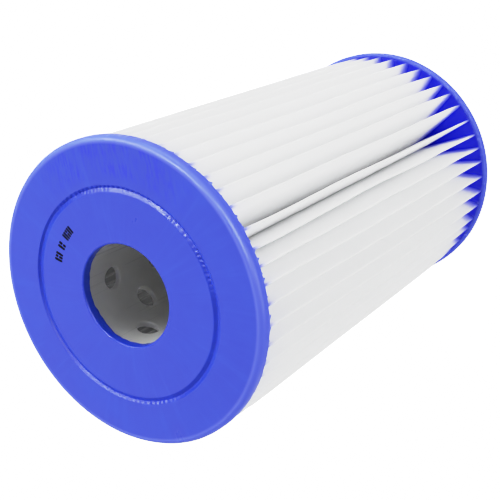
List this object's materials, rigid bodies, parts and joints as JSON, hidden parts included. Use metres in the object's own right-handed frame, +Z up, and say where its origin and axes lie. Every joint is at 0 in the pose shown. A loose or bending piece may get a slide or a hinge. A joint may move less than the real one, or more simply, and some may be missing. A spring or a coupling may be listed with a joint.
{
  "type": "pleated filter cartridge",
  "caption": "Cylindrical pleated water-filter cartridge with moulded blue end caps, a ring groove in each face and an open bore through a perforated core tube.",
  "frame": {"origin": "centre of the bottom cap's outer face, on the cartridge's axis", "axes": "+Z up along the axis to the top cap; X and Y span the cap faces, and one pleat stands 68.4 degrees from +Y towards +X"},
  "size_m": [0.108, 0.108, 0.195],
  "materials": {
    "end_caps": "satin moulded polyurethane, bright blue",
    "core": "natural white polypropylene, satin",
    "media": "white spunbonded polyester, point bonded",
    "seam": "translucent hot-melt adhesive"
  },
  "bodies": {
    "root": {"top_end_cap": "end_caps", "bottom_end_cap": "end_caps", "core_tube": "core", "pleated_media": "media", "media_seam_bond": "seam"}
  },
  "joints": []
}
